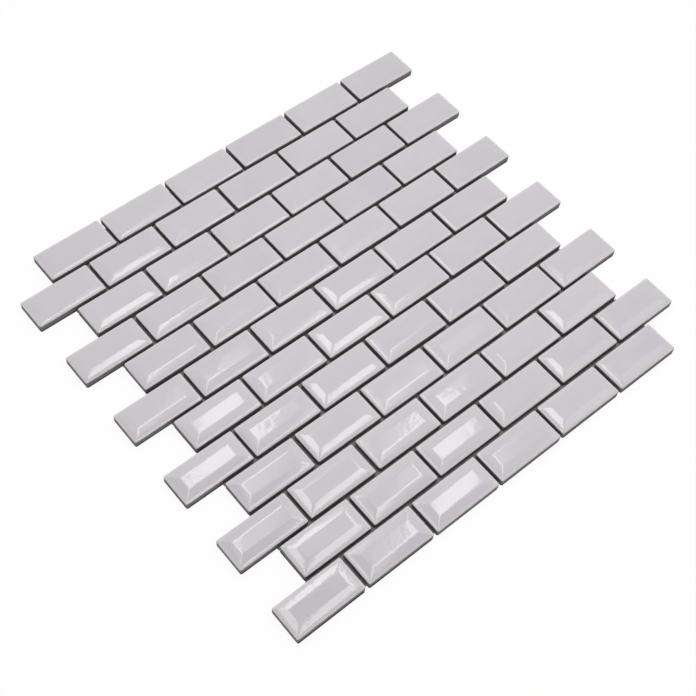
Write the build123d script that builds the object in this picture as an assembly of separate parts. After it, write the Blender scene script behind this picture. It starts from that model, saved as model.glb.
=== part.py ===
"""Mosaic sheet of bevelled brick tiles in half bond, held together by a net on their backs."""
from build123d import *

import math
import os

# Driving dimensions, in millimetres
tile_length = 48.0
tile_width = 23.0
joint = 2.0
course_count = 12
tiles_per_course = 6

# Shape of one tile, heights counted from its back
side_height = 4.7
bevel_width = 6.8
bevel_rise = 1.0
rim_radius = 2.0
edge_radius = 1.0

# Net glued to the backs of the tiles
net_pitch = 10.0
thread_width = 1.0
net_thickness = 0.4
net_inset = 9.0
most_crossings = 200

# Sizes that follow from those above
pitch_x = tile_length + joint
pitch_y = tile_width + joint
half_bond = pitch_x / 2
course_length = tiles_per_course * pitch_x - joint
sheet_length = course_length + half_bond
sheet_width = course_count * pitch_y - joint


# Section across a tile: upright sides, rounded rims, and bevels running up to a roof ridge
def roof_section(span):
    edge = span / 2
    roof_top = side_height + bevel_rise * edge / bevel_width
    corners = [(-edge, 0), (edge, 0), (edge, side_height), (0, roof_top), (-edge, side_height)]
    section = make_face(Polyline(*corners, close=True))
    rims = section.vertices().group_by(Axis.Y)[1]
    return fillet(rims, rim_radius)


# The edges that climb the four corners of a tile, from its back to its flat top
def corner_edges(shape):
    climbing = []
    for edge in shape.edges():
        start = edge @ 0
        end = edge @ 1
        mitred = math.isclose(abs(start.X) - abs(end.X), abs(start.Y) - abs(end.Y), abs_tol=1e-6)
        if mitred and not math.isclose(start.Z, end.Z, abs_tol=1e-6):
            climbing.append(edge)
    return climbing


# One tile, its back at height zero: two roofs crossed, cut flat on top, with its edges rounded
def make_tile():
    along = extrude(Plane.YZ * roof_section(tile_width), tile_length, both=True)
    across = extrude(Plane.XZ * roof_section(tile_length), tile_length, both=True)
    tile = split(along & across, Plane.XY.offset(side_height + bevel_rise), keep=Keep.BOTTOM)
    ridges = tile.faces().sort_by(Axis.Z)[-1].edges()
    return fillet(list(ridges) + corner_edges(tile), edge_radius)


# One course of tiles, every second course moved along by half a tile
def make_course(tile, number):
    shift = half_bond / 2 if number % 2 == 0 else -half_bond / 2
    y = (number - (course_count + 1) / 2) * pitch_y
    tiles = []
    for place in range(tiles_per_course):
        x = shift + (place - (tiles_per_course - 1) / 2) * pitch_x
        tiles.append(Pos(x, y, net_thickness) * tile)
    return Compound(children=tiles)


# Middle lines of the threads that fill a span, one of them through the middle
def thread_lines(span):
    cells_each_way = max(1, round((span - thread_width) / net_pitch / 2))
    step = (span - thread_width) / 2 / cells_each_way
    return [n * step for n in range(-cells_each_way, cells_each_way + 1)]


# A closed loop through points on the floor
def flat_loop(points):
    return Wire.make_polygon([(x, y, 0) for x, y in points])


# A strip of net: some lengthwise threads, with the cross threads running on to the next strip
def make_net_strip(cross_lines, strip_lines, next_line):
    half = thread_width / 2
    left = cross_lines[0] - half
    right = cross_lines[-1] + half
    low = strip_lines[0] - half
    high = strip_lines[-1] + half
    outline = [(left, low), (right, low)]
    if next_line is None:
        outline += [(right, high), (left, high)]
    else:
        tip = next_line - half
        for line in reversed(cross_lines):
            outline += [(line + half, high), (line + half, tip), (line - half, tip), (line - half, high)]
        outline.remove((right, high))
        outline.remove((left, high))
    holes = []
    for lower, upper in zip(strip_lines, strip_lines[1:]):
        bottom = lower + half
        top = upper - half
        for line, next_cross in zip(cross_lines, cross_lines[1:]):
            start = line + half
            end = next_cross - half
            holes.append(flat_loop([(start, bottom), (end, bottom), (end, top), (start, top)]))
    flat = Face(flat_loop(outline), holes)
    return extrude(flat, net_thickness, dir=(0, 0, 1))


os.makedirs("parts", exist_ok=True)

tile = make_tile()
for number in range(1, course_count + 1):
    export_step(make_course(tile, number), f"parts/tile_course_{number:02d}.step")

cross_lines = thread_lines(sheet_length - 2 * half_bond - 2 * net_inset)
length_lines = thread_lines(sheet_width - 2 * net_inset)
strip_count = math.ceil(len(cross_lines) * len(length_lines) / most_crossings)
lines_per_strip = math.ceil(len(length_lines) / strip_count)
for strip in range(strip_count):
    first = strip * lines_per_strip
    last = min(first + lines_per_strip, len(length_lines))
    next_line = length_lines[last] if last < len(length_lines) else None
    net = make_net_strip(cross_lines, length_lines[first:last], next_line)
    export_step(net, f"parts/net_strip_{strip + 1:02d}.step")
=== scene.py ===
"""Mosaic sheet of bevelled glazed brick tiles in half bond, on a glass-fibre net, lying on a white floor."""
import math
import random

import bpy
import numpy as np
from mathutils import Matrix, Quaternion, Vector, noise


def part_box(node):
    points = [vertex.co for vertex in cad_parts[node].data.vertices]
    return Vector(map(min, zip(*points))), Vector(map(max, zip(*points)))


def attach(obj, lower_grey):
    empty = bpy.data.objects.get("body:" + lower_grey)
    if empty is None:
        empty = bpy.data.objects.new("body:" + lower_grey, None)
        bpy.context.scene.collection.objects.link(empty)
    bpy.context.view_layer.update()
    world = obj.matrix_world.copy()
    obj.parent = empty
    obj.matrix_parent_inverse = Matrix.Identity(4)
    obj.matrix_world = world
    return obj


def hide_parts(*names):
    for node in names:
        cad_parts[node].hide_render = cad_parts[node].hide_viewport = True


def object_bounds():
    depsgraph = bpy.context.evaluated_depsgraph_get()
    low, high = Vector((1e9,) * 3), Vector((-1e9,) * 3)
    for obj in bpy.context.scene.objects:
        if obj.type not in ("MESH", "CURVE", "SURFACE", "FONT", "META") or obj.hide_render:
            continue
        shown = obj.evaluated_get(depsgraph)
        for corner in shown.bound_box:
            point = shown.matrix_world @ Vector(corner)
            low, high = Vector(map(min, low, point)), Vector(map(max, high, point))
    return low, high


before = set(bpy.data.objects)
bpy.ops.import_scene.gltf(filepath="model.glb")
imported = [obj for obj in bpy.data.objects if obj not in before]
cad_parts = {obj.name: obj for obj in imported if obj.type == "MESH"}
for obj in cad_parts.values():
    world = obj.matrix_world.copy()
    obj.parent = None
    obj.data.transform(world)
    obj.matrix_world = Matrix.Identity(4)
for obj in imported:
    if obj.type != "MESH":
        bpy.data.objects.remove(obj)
cad_low, cad_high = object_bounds()

# One millimetre in the metres of the scene
MM = 0.001

# Tiles in a course, and places and sizes read from the frame
tiles_per_course = 6
course_names = sorted(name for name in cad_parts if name.startswith("tile_course"))
net_names = sorted(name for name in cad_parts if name.startswith("net_strip"))
first_low, first_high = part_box(course_names[0])
second_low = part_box(course_names[1])[0]
joint = second_low.y - first_high.y
tile_pitch = (first_high.x - first_low.x + joint) / tiles_per_course
tile_length = tile_pitch - joint
tile_width = first_high.y - first_low.y
tile_height = first_high.z - first_low.z
tile_back = first_low.z

# Shape of one tile, its sides drawn in by the shrinkage to leave room for uneven setting
bevel_width = 6.8 * MM
bevel_rise = 1.0 * MM
rim_radius = 0.8 * MM
shoulder_radius = 9.0 * MM
ridge_radius = 12.0 * MM
shoulder_slope = math.radians(22)
bevel_slope = math.atan2(bevel_rise, bevel_width)
bevel_bulge = math.radians(0.8)
back_chamfer = 0.15 * MM
shrinkage = 0.12 * MM
corner_radius = 1.0 * MM
mitre_radius = 0.7 * MM

# Steps of the tile's mesh, round its outline and then up its sides and over its face
long_steps = 24
short_steps = 10
corner_steps = 4
side_steps = 3
rim_steps = 5
bevel_steps = 6
top_steps = 4

# Glaze on the sides of a tile: whole above one height, gone below the other, where the side turns dark grey,
# darker towards the bottom; and close to the rim a lighter, warmer colour, a warm tint with painted light on
# it
glaze_whole = 4.55 * MM
glaze_gone = 3.6 * MM
rim_tint_and_light_reach = 2.2 * MM

# Slow ripples of the glaze, with finer ones on top, moved along from tile to tile
ripple_length = 9.0 * MM
ripple_height = 0.02 * MM
fine_ripple_length = 0.4 * ripple_length
fine_ripple_share = 0.35
ripple_shift = (7.31, 3.17, 5.03)

# How unevenly the tiles were set
set_slip = 0.18 * MM
set_turn = math.radians(0.25)
set_tilt = math.radians(0.3)
most_tilt = math.radians(0.6)

# Colours of the glaze, of the dark grey that the sides turn to towards the bottom and on the back, and of
# the net
lilac_dark = (0.545, 0.515, 0.555)
lilac_light = (0.587, 0.556, 0.595)
cloud_colour = (0.563, 0.544, 0.565)
rim_tint_and_light_colour = (0.670, 0.648, 0.638)
lower_dark = (0.099, 0.089, 0.092)
lower_light = (0.160, 0.146, 0.149)
fibre_dark = (0.20, 0.195, 0.185)
fibre_light = (0.36, 0.355, 0.34)
stain_colour = (0.24, 0.23, 0.21)

# Look of the glaze: how its noise differs from tile to tile, its warm rim with painted light, its lower edge
# and its gloss
noise_spread = 40.0
rim_tint_and_light_share = 0.8
edge_wander = 0.12
glaze_roughness = (0.05, 0.09)
lower_roughness = 0.7
glaze_index = 1.55

# Backing net
thread_width = 1.0 * MM
thread_height = 0.26 * MM
thread_pitch = 10.0 * MM
thread_wave = 0.06 * MM
thread_sides = 8

# Camera that took the photo
camera_place = Vector((-0.3092, -0.3155, 0.6537))
camera_target = Vector((-0.0232, -0.0244, 0.0042))
camera_roll = math.radians(5.58)
camera_lens = 65.22
camera_sensor = 36.0
camera_near = 0.01

# Two strip lamps over the sheet, their ends as distances right of and away from the camera
lamp_height = 0.556
strip_left = ((-0.163, -0.25), (-0.105, 0.36))
strip_right = ((0.138, -0.25), (0.110, 0.36))

# Where along a strip its level changes, and the levels and widths of its bright middle and of its glow
lamp_cuts = (0.0, 0.36, 0.62, 0.83, 0.9, 1.0)
left_levels = (2.4, 3.4, 4.1, 1.5, 0.5)
right_levels = (2.9, 3.6, 3.8, 1.3, 0.6)
middle_width = 0.06
glow_level = 1.1
glow_width = 0.125
glow_cut = 0.83
glow_lift = Vector((0, 0, 3 * MM))

# Soft fill lamp beyond the right strip
fill_ends = ((0.42, -0.1), (0.42, 0.32))
fill_width = 0.16
fill_level = 1.0

# Soft light from all round, brighter on the far side, and a dark ceiling on the camera's side
light_behind_camera = 0.55
light_far_side = 0.92
ceiling_tone = 0.02
ceiling_edge = 0.05
ceiling_reach = 0.7
ceiling_height = 1.05 * lamp_height

# White floor, with painted shade on it: dark faces under the tiles and grey ones in the joints just above it
floor_reach = 4.0
floor_tone = 0.93
floor_glow = 0.9
shade_tone = 0.08
joint_shade_tone = 0.3
floor_roughness = 0.9
floor_height = -0.1 * MM
shade_height = -0.07 * MM
joint_shade_height = -0.04 * MM

# How far shade reaches out in front of a tile, and how far light reaches in under its right end
shade_reach = 0.2 * MM
end_light = 0.4 * MM

# How far light reaches into the joints at the front and at the back of the sheet
front_light = 2.0 * MM
back_light = 6.0 * MM


# Points between two others, without the two
def between(start, end, steps):
    start = np.array(start)
    run = np.array(end) - start
    return [tuple(start + run * n / steps) for n in range(1, steps)]


# Points of a bend that goes on from a point, its slope easing from one angle to another
def bend(start, slope, next_slope, radius, steps):
    points = []
    for angle in np.linspace(slope, next_slope, steps + 1)[1:]:
        inset = start[0] + radius * (math.sin(slope) - math.sin(angle))
        height = start[1] + radius * (math.cos(angle) - math.cos(slope))
        points.append((inset, height))
    return points


# Inset and height of each ring of a tile, from the middle of its back round to the middle of its top
def tile_profile():
    middle = tile_width / 2
    bevel_foot = bevel_slope + bevel_bulge
    bevel_head = bevel_slope - bevel_bulge
    curve = [(shrinkage, 0)]
    curve += bend(curve[-1], math.pi / 2, shoulder_slope, rim_radius, rim_steps)
    curve += bend(curve[-1], shoulder_slope, bevel_foot, shoulder_radius, rim_steps)
    bevel_reach = bevel_width - ridge_radius * math.sin(bevel_head) / 2 - curve[-1][0]
    bevel_radius = bevel_reach / (math.sin(bevel_foot) - math.sin(bevel_head))
    curve += bend(curve[-1], bevel_foot, bevel_head, bevel_radius, bevel_steps)
    curve += bend(curve[-1], bevel_head, 0, ridge_radius, bevel_steps)
    wall_top = tile_height - curve[-1][1]
    face = [(inset, wall_top + height) for inset, height in curve]
    foot = shrinkage + back_chamfer
    back = [(middle, 0), (middle / 2, 0), (2 * foot, 0), (foot, 0)]
    side = [(shrinkage, back_chamfer), (shrinkage, 2 * back_chamfer)]
    side += between(side[-1], face[0], side_steps)
    top = between(face[-1], (middle, tile_height), top_steps) + [(middle, tile_height)]
    return back + side + face + top


# Points round a rectangle with rounded corners, starting at the right
def rounded_ring(half_length, half_width, radius):
    runs = (long_steps, short_steps, long_steps, short_steps)
    signs = ((1, 1), (-1, 1), (-1, -1), (1, -1))
    corners = []
    for quarter, (along, across) in enumerate(signs):
        centre = np.array((along * (half_length - radius), across * (half_width - radius)))
        angles = (quarter + np.linspace(0, 1, corner_steps + 1)) * math.pi / 2
        corners.append([centre + radius * np.array((math.cos(a), math.sin(a))) for a in angles])
    points = []
    for quarter, steps in enumerate(runs):
        points += corners[quarter]
        points += between(corners[quarter][-1], corners[(quarter + 1) % 4][0], steps)
    return np.array(points)


# One tile about its own middle, its back at height zero: points, and faces as lists of point numbers
def tile_shape():
    rings = []
    for inset, height in tile_profile():
        half_length = tile_length / 2 - inset
        half_width = tile_width / 2 - inset
        share = min(1, inset / bevel_width)
        radius = min(corner_radius + (mitre_radius - corner_radius) * share, half_width)
        ring = rounded_ring(half_length, half_width, radius)
        rings.append(np.column_stack((ring, np.full(len(ring), height))))
    count = len(rings[0])
    points = np.concatenate(rings)
    # Points that fall together in the middle of the back and of the top are kept once
    kept, place = np.unique(np.round(points, decimals=8), axis=0, return_inverse=True)
    place = place.ravel()
    faces = []
    for level in range(len(rings) - 1):
        for step in range(count):
            turn = (step + 1) % count
            corners = [level * count + step, level * count + turn]
            corners += [(level + 1) * count + turn, (level + 1) * count + step]
            face = list(dict.fromkeys(place[corner] for corner in corners))
            if len(face) > 2:
                faces.append(face)
    return kept, faces


# A smooth mesh object, with any values of its own on its points
def mesh_object(name, points, faces, material, **values):
    mesh = bpy.data.meshes.new(name)
    mesh.from_pydata(points.tolist(), [], [[int(corner) for corner in face] for face in faces])
    mesh.polygons.foreach_set("use_smooth", [True] * len(mesh.polygons))
    for key, numbers in values.items():
        attribute = mesh.attributes.new(key, "FLOAT", "POINT")
        attribute.data.foreach_set("value", np.asarray(numbers, dtype=np.float32))
    mesh.materials.append(material)
    mesh.update()
    piece = bpy.data.objects.new(name, mesh)
    bpy.context.scene.collection.objects.link(piece)
    return piece


# Heights added to a tile's glazed face, as ripples of the glaze
def glaze_ripple(points, seed):
    cover = np.clip((points[:, 2] - glaze_gone) / (tile_height - bevel_rise - glaze_gone), 0, 1)
    shift = Vector([seed * step for step in ripple_shift])
    coarse = [noise.noise(Vector(p) / ripple_length + shift) for p in points]
    fine = [noise.noise(Vector(p) / fine_ripple_length + shift) for p in points]
    return cover * ripple_height * (np.array(coarse) + fine_ripple_share * np.array(fine))


# A random tilt of a tile, never so much that it would dip through the net
def small_tilt(rng):
    return min(max(rng.gauss(0, set_tilt), -most_tilt), most_tilt)


# One course of tiles, each set a little unevenly
def make_course(name, shape, material, seed):
    low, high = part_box(name)
    tile_points, tile_faces = shape
    rng = random.Random(seed)
    points = []
    faces = []
    tones = []
    for place in range(tiles_per_course):
        tile = tile_points.copy()
        tile[:, 2] += glaze_ripple(tile_points, seed * tiles_per_course + place)
        middle = Vector((low.x + tile_length / 2 + place * tile_pitch, (low.y + high.y) / 2, tile_back))
        middle += Vector((rng.uniform(-set_slip, set_slip), rng.uniform(-set_slip, set_slip), 0))
        turn = Matrix.Rotation(rng.uniform(-set_turn, set_turn), 3, "Z")
        tilt_x = Matrix.Rotation(small_tilt(rng), 3, "X")
        tilt_y = Matrix.Rotation(small_tilt(rng), 3, "Y")
        spun = tile @ np.array(turn @ tilt_x @ tilt_y).T + np.array(middle)
        faces += [[corner + len(points) * len(tile) for corner in face] for face in tile_faces]
        points.append(spun)
        tones.append(np.full(len(tile), rng.random()))
    glaze = np.clip((tile_points[:, 2] - glaze_gone) / (glaze_whole - glaze_gone), 0, 1)
    # Lighter and warmer towards the rim: a warm tint of the glaze with painted light along the rims
    inset = np.minimum(tile_length / 2 - abs(tile_points[:, 0]), tile_width / 2 - abs(tile_points[:, 1]))
    rim_tint_and_light = np.clip(1 - inset / rim_tint_and_light_reach, 0, 1)
    values = {"tone": np.concatenate(tones)}
    values["glaze"] = np.tile(glaze, tiles_per_course)
    values["rim_tint_and_light"] = np.tile(rim_tint_and_light, tiles_per_course)
    course = mesh_object("glazed_" + name, np.concatenate(points), faces, material, **values)
    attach(course, "root")
    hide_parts(name)


# A thread of the net along one line, a flat bundle that rises and dips as it crosses the others
def thread_mesh(stations, line, along_x, first_dip):
    points = []
    faces = []
    for number, station in enumerate(stations):
        at_crossing = number % 2 == 0
        dip = (-1) ** (number // 2 + first_dip) * thread_wave if at_crossing else 0
        for side in range(thread_sides):
            angle = 2 * math.pi * side / thread_sides
            across = line + thread_width / 2 * math.cos(angle)
            height = tile_back / 2 + dip + thread_height / 2 * math.sin(angle)
            points.append((station, across, height) if along_x else (across, station, height))
    for number in range(len(stations) - 1):
        ring = number * thread_sides
        for side in range(thread_sides):
            turn = (side + 1) % thread_sides
            face = [ring + side, ring + turn, ring + thread_sides + turn, ring + thread_sides + side]
            faces.append(face[::-1] if along_x else face)
    first_end = list(range(thread_sides))
    last_end = list(range(len(points) - thread_sides, len(points)))
    turned_end = last_end if along_x else first_end
    turned_end.reverse()
    return points, faces + [first_end, last_end]


# Middle lines of the threads that fill a span, one of them through the middle
def thread_lines(low, high):
    middle = (low + high) / 2
    half = (high - low - thread_width) / 2
    count = round(half / thread_pitch)
    return [middle + n * half / count for n in range(-count, count + 1)]


# Stations along a thread: at each crossing and half way between them
def thread_stations(lines):
    step = (lines[1] - lines[0]) / 2
    return [lines[0] + n * step for n in range(2 * len(lines) - 1)]


# The net that holds the tiles, with threads that cross over and under in turn
def make_net(material):
    corners = [corner for name in net_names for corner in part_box(name)]
    low_x = min(corner.x for corner in corners)
    high_x = max(corner.x for corner in corners)
    low_y = min(corner.y for corner in corners)
    high_y = max(corner.y for corner in corners)
    cross = thread_lines(low_x, high_x)
    length = thread_lines(low_y, high_y)
    points = []
    faces = []
    threads = [(thread_stations(length), x, False, n % 2) for n, x in enumerate(cross)]
    threads += [(thread_stations(cross), y, True, (n + 1) % 2) for n, y in enumerate(length)]
    for thread in threads:
        thread_points, thread_faces = thread_mesh(*thread)
        faces += [[corner + len(points) for corner in face] for face in thread_faces]
        points += thread_points
    net = mesh_object("backing_net", np.array(points), faces, material)
    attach(net, "root")
    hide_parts(*net_names)


# A new material, with its node tree and its shader
def new_material(name):
    material = bpy.data.materials.new(name)
    material.use_nodes = True
    return material, material.node_tree, material.node_tree.nodes["Principled BSDF"]


# Noise over the object, cut through at another place for each value of the seed
def add_noise(tree, place, scale, detail, seed=None):
    texture = tree.nodes.new("ShaderNodeTexNoise")
    texture.inputs["Scale"].default_value = scale
    texture.inputs["Detail"].default_value = detail
    tree.links.new(place, texture.inputs["Vector"])
    if seed is not None:
        texture.noise_dimensions = "4D"
        tree.links.new(seed, texture.inputs["W"])
    return texture.outputs["Fac"]


# A value stretched from one span to another, and held at its ends
def add_range(tree, value, span, result=(0.0, 1.0)):
    step = tree.nodes.new("ShaderNodeMapRange")
    step.inputs["From Min"].default_value = span[0]
    step.inputs["From Max"].default_value = span[1]
    step.inputs["To Min"].default_value = result[0]
    step.inputs["To Max"].default_value = result[1]
    tree.links.new(value, step.inputs["Value"])
    return step.outputs["Result"]


# A sum, product or the like of two values, each a number or a socket
def add_math(tree, kind, first, second):
    step = tree.nodes.new("ShaderNodeMath")
    step.operation = kind
    for socket, value in zip(step.inputs, (first, second)):
        if isinstance(value, (int, float)):
            socket.default_value = value
        else:
            tree.links.new(value, socket)
    return step.outputs["Value"]


# A mix of two colours, each a plain colour or a socket
def add_mix(tree, share, first, second):
    step = tree.nodes.new("ShaderNodeMix")
    step.data_type = "RGBA"
    tree.links.new(share, step.inputs["Factor"])
    for socket, value in ((step.inputs[6], first), (step.inputs[7], second)):
        if isinstance(value, tuple):
            socket.default_value = (*value, 1)
        else:
            tree.links.new(value, socket)
    return step.outputs[2]


# A value that the mesh carries on its points
def add_attribute(tree, name):
    step = tree.nodes.new("ShaderNodeAttribute")
    step.attribute_name = name
    return step.outputs["Fac"]


# Fine relief on a material
def add_bump(tree, shader, height, strength, distance):
    bump = tree.nodes.new("ShaderNodeBump")
    bump.inputs["Strength"].default_value = strength
    bump.inputs["Distance"].default_value = distance
    tree.links.new(height, bump.inputs["Height"])
    tree.links.new(bump.outputs["Normal"], shader.inputs["Normal"])


# Glossy lilac-grey glaze that thins out down the sides to a dark grey, so the sides are darker towards the
# bottom, and is lighter and warmer close to the rim, a warm tint with painted light
def glaze_material():
    material, tree, shader = new_material("glazed_tile")
    place = tree.nodes.new("ShaderNodeTexCoord").outputs["Object"]
    tone = add_attribute(tree, "tone")
    seed = add_math(tree, "MULTIPLY", tone, noise_spread)
    cloud = add_noise(tree, place, scale=70.0, detail=2.0, seed=seed)
    speck = add_noise(tree, place, scale=1500.0, detail=2.0)
    edge = add_noise(tree, place, scale=350.0, detail=2.0, seed=seed)

    lilac = add_mix(tree, tone, lilac_dark, lilac_light)
    clouded = add_mix(tree, add_range(tree, cloud, (0.35, 0.65)), lilac, cloud_colour)
    # Warm tint close to the rim, lighter than the glaze as painted light along the rims
    lit_rim_share = add_math(tree, "MULTIPLY", add_attribute(tree, "rim_tint_and_light"), rim_tint_and_light_share)
    warmed_and_lit = add_mix(tree, lit_rim_share, clouded, rim_tint_and_light_colour)
    # Rough dark grey towards the bottom of the sides and on the back
    lower_grey = add_mix(tree, speck, lower_dark, lower_light)
    wander = add_range(tree, edge, (0.3, 0.7), (-edge_wander, edge_wander))
    cover = add_range(tree, add_math(tree, "ADD", add_attribute(tree, "glaze"), wander), (0.1, 0.85))
    tree.links.new(add_mix(tree, cover, lower_grey, warmed_and_lit), shader.inputs["Base Color"])

    gloss = add_range(tree, cloud, (0.3, 0.7), glaze_roughness)
    dull = add_range(tree, cover, (0.2, 0.8), (lower_roughness, 0.0))
    tree.links.new(add_math(tree, "ADD", gloss, dull), shader.inputs["Roughness"])
    shader.inputs["IOR"].default_value = glaze_index

    patch = add_noise(tree, place, scale=45.0, detail=1.0, seed=seed)
    ripple = add_noise(tree, place, scale=300.0, detail=1.0, seed=seed)
    patchy = add_math(tree, "MULTIPLY", ripple, add_range(tree, patch, (0.45, 0.65), (0.15, 1.0)))
    add_bump(tree, shader, patchy, strength=0.5, distance=0.16 * MM)
    return material


# Dark grey glass-fibre thread, its fibres showing in the coating
def net_material():
    material, tree, shader = new_material("glass_fibre_net")
    place = tree.nodes.new("ShaderNodeTexCoord").outputs["Object"]
    fibre = add_noise(tree, place, scale=2500.0, detail=3.0)
    stain = add_noise(tree, place, scale=60.0, detail=2.0)
    thread = add_mix(tree, fibre, fibre_dark, fibre_light)
    tree.links.new(add_mix(tree, stain, thread, stain_colour), shader.inputs["Base Color"])
    tree.links.new(add_range(tree, fibre, (0.3, 0.7), (0.55, 0.8)), shader.inputs["Roughness"])
    add_bump(tree, shader, fibre, strength=0.6, distance=0.08 * MM)
    return material


# A plain grey material
def grey_material(name, tone, roughness):
    material, _, shader = new_material(name)
    shader.inputs["Base Color"].default_value = (tone, tone, tone, 1)
    shader.inputs["Roughness"].default_value = roughness
    return material


# One where the camera, a reflection or clear glass looks, and zero for light that falls on the object
def seen_directly(tree):
    path = tree.nodes.new("ShaderNodeLightPath")
    seen = add_math(tree, "ADD", path.outputs["Is Camera Ray"], path.outputs["Is Glossy Ray"])
    return add_math(tree, "MINIMUM", add_math(tree, "ADD", seen, path.outputs["Is Transmission Ray"]), 1.0)


# Floor that shows white, with a faint shadow left in it
def white_floor_material():
    material = grey_material("white_floor", floor_tone, floor_roughness)
    tree = material.node_tree
    glow = tree.nodes.new("ShaderNodeEmission")
    mix = tree.nodes.new("ShaderNodeMixShader")
    tree.links.new(add_math(tree, "MULTIPLY", seen_directly(tree), floor_glow), mix.inputs[0])
    tree.links.new(tree.nodes["Principled BSDF"].outputs["BSDF"], mix.inputs[1])
    tree.links.new(glow.outputs["Emission"], mix.inputs[2])
    tree.links.new(mix.outputs["Shader"], tree.nodes["Material Output"].inputs["Surface"])
    return material


# Corners of a rectangle
def rectangle(low_x, high_x, low_y, high_y):
    return [(low_x, low_y), (high_x, low_y), (high_x, high_y), (low_x, high_y)]


# Flat faces at one height that belong to the floor
def flat_faces(name, outlines, height, material):
    points = []
    faces = []
    for outline in outlines:
        faces.append(range(len(points), len(points) + len(outline)))
        points += [(x, y, height) for x, y in outline]
    mesh_object(name, np.array(points), faces, material)


# Outlines of the painted shade on the floor under each tile of a course
def tile_shades(low, high):
    half_length = tile_length / 2 - end_light
    outline = rounded_ring(half_length, tile_width / 2, corner_radius)
    first = np.array((low.x + half_length, (low.y + high.y) / 2 - shade_reach))
    return [outline + first + np.array((place * tile_pitch, 0)) for place in range(tiles_per_course)]


# Outlines of the painted shade on the floor in the joints between the tiles of a course, its outer ends left
# in the light
def joint_shade_outlines(low, high):
    front = max(low.y, cad_low.y + front_light)
    back = min(high.y, cad_high.y - back_light)
    starts = [low.x + place * tile_pitch for place in range(1, tiles_per_course)]
    spare = corner_radius + 2 * end_light
    return [rectangle(start - joint - spare, start + spare, front, back) for start in starts]


# White floor, and painted shade on the parts of it under the tiles and in the joints between them
def make_floor():
    boxes = [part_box(name) for name in course_names]
    under_tiles = []
    shade_in_joints = []
    for low, high in boxes:
        under_tiles += tile_shades(low, high)
        shade_in_joints += joint_shade_outlines(low, high)
    for (low, high), (next_low, next_high) in zip(boxes, boxes[1:]):
        shade_in_joints.append(rectangle(max(low.x, next_low.x), min(high.x, next_high.x), high.y, next_low.y))
    whole = rectangle(-floor_reach, floor_reach, -floor_reach, floor_reach)
    # Painted shade: dark faces under the tiles and mid-grey ones in the joints, where the white floor lies
    # in shade
    shade = grey_material("shade", shade_tone, floor_roughness)
    joint_shade_material = grey_material("painted_joint_shade", joint_shade_tone, floor_roughness)
    flat_faces("floor", [whole], floor_height, white_floor_material())
    flat_faces("shade", under_tiles, shade_height, shade)
    flat_faces("painted_joint_shade", shade_in_joints, joint_shade_height, joint_shade_material)


# Level directions away from the camera and to its right
def view_directions():
    view = camera_target - camera_place
    away = Vector((view.x, view.y, 0)).normalized()
    return away, Vector((away.y, -away.x, 0))


# A lamp that shines down from a rectangle, its length running from one point to another
def add_lamp(name, start, end, width, level):
    run = end - start
    lamp = bpy.data.lights.new(name, "AREA")
    lamp.shape = "RECTANGLE"
    lamp.size = width
    lamp.size_y = run.length
    lamp.energy = level * math.pi * lamp.size * lamp.size_y
    holder = bpy.data.objects.new(name, lamp)
    holder.location = (start + end) / 2
    holder.rotation_euler = (0, 0, math.atan2(-run.x, run.y))
    holder.visible_camera = False
    bpy.context.scene.collection.objects.link(holder)


# The two ends of a lamp, from their distances right of and away from the camera
def lamp_ends(ends):
    away, right = view_directions()
    return [right * x + away * y + Vector((0, 0, lamp_height)) for x, y in ends]


# Two strips, each a bright middle with a glow above it, and the fill lamp
def make_lamps():
    for ends, levels in ((strip_left, left_levels), (strip_right, right_levels)):
        near, far = lamp_ends(ends)
        add_lamp("glow", near + glow_lift, near.lerp(far, glow_cut) + glow_lift, glow_width, glow_level)
        for first, last, level in zip(lamp_cuts, lamp_cuts[1:], levels):
            add_lamp("strip", near.lerp(far, first), near.lerp(far, last), middle_width, level)
    add_lamp("fill", *lamp_ends(fill_ends), fill_width, fill_level)


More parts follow.
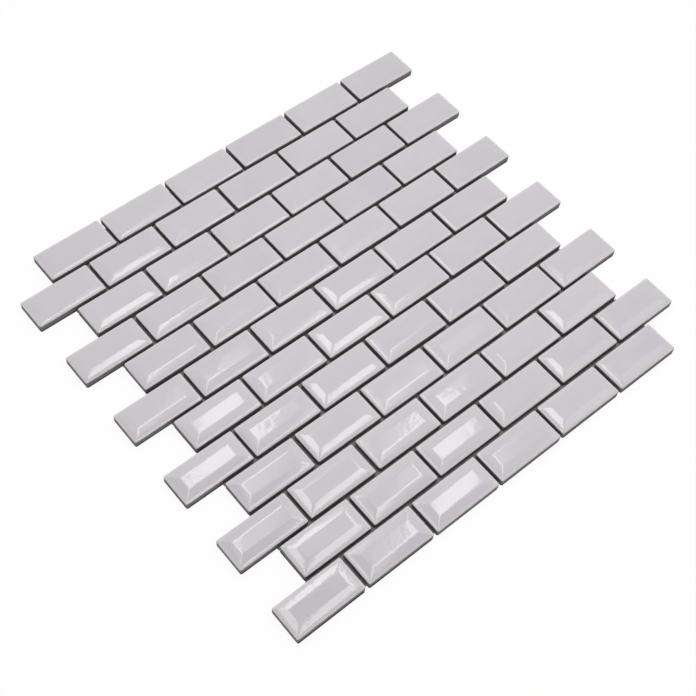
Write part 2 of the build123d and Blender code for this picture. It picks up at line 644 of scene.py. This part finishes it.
# Dark ceiling that shows only as a reflection
def make_ceiling():
    away, right = view_directions()
    height = Vector((0, 0, ceiling_height))
    corners = [away * ceiling_edge - right * ceiling_reach, away * ceiling_edge + right * ceiling_reach]
    corners += [corner - away * ceiling_reach for corner in reversed(corners)]
    points = np.array([corner + height for corner in corners])
    material = grey_material("dark_ceiling", ceiling_tone, roughness=1.0)
    ceiling = mesh_object("ceiling", points, [[0, 1, 2, 3]], material)
    ceiling.visible_camera = False
    ceiling.visible_diffuse = False
    ceiling.visible_transmission = False
    ceiling.visible_shadow = False


# White all round where it is seen, and softer as light on the object, with more of it from the far side
def make_world():
    away, _ = view_directions()
    world = bpy.data.worlds.new("studio")
    world.use_nodes = True
    tree = world.node_tree
    background = tree.nodes["Background"]
    background.inputs["Color"].default_value = (1, 1, 1, 1)
    facing = tree.nodes.new("ShaderNodeVectorMath")
    facing.operation = "DOT_PRODUCT"
    facing.inputs[1].default_value = away
    tree.links.new(tree.nodes.new("ShaderNodeTexCoord").outputs["Generated"], facing.inputs[0])
    level = add_range(tree, facing.outputs["Value"], (-1.0, 1.0), (light_behind_camera, light_far_side))
    strength = tree.nodes.new("ShaderNodeMix")
    tree.links.new(seen_directly(tree), strength.inputs["Factor"])
    tree.links.new(level, strength.inputs["A"])
    strength.inputs["B"].default_value = 1.0
    tree.links.new(strength.outputs["Result"], background.inputs["Strength"])
    bpy.context.scene.world = world


def make_camera():
    data = bpy.data.cameras.new("camera")
    data.sensor_width = camera_sensor
    data.lens = camera_lens
    data.clip_start = camera_near
    camera = bpy.data.objects.new("camera", data)
    facing = (camera_target - camera_place).to_track_quat("-Z", "Y")
    camera.location = camera_place
    camera.rotation_mode = "QUATERNION"
    camera.rotation_quaternion = facing @ Quaternion((0, 0, 1), camera_roll)
    bpy.context.scene.collection.objects.link(camera)
    bpy.context.scene.camera = camera


bpy.context.scene.view_settings.view_transform = "Standard"
make_camera()
make_world()
make_lamps()
make_ceiling()

glaze = glaze_material()
shape = tile_shape()
for number, name in enumerate(course_names, start=1):
    make_course(name, shape, glaze, number)
make_net(net_material())
make_floor()

bpy.context.view_layer.update()
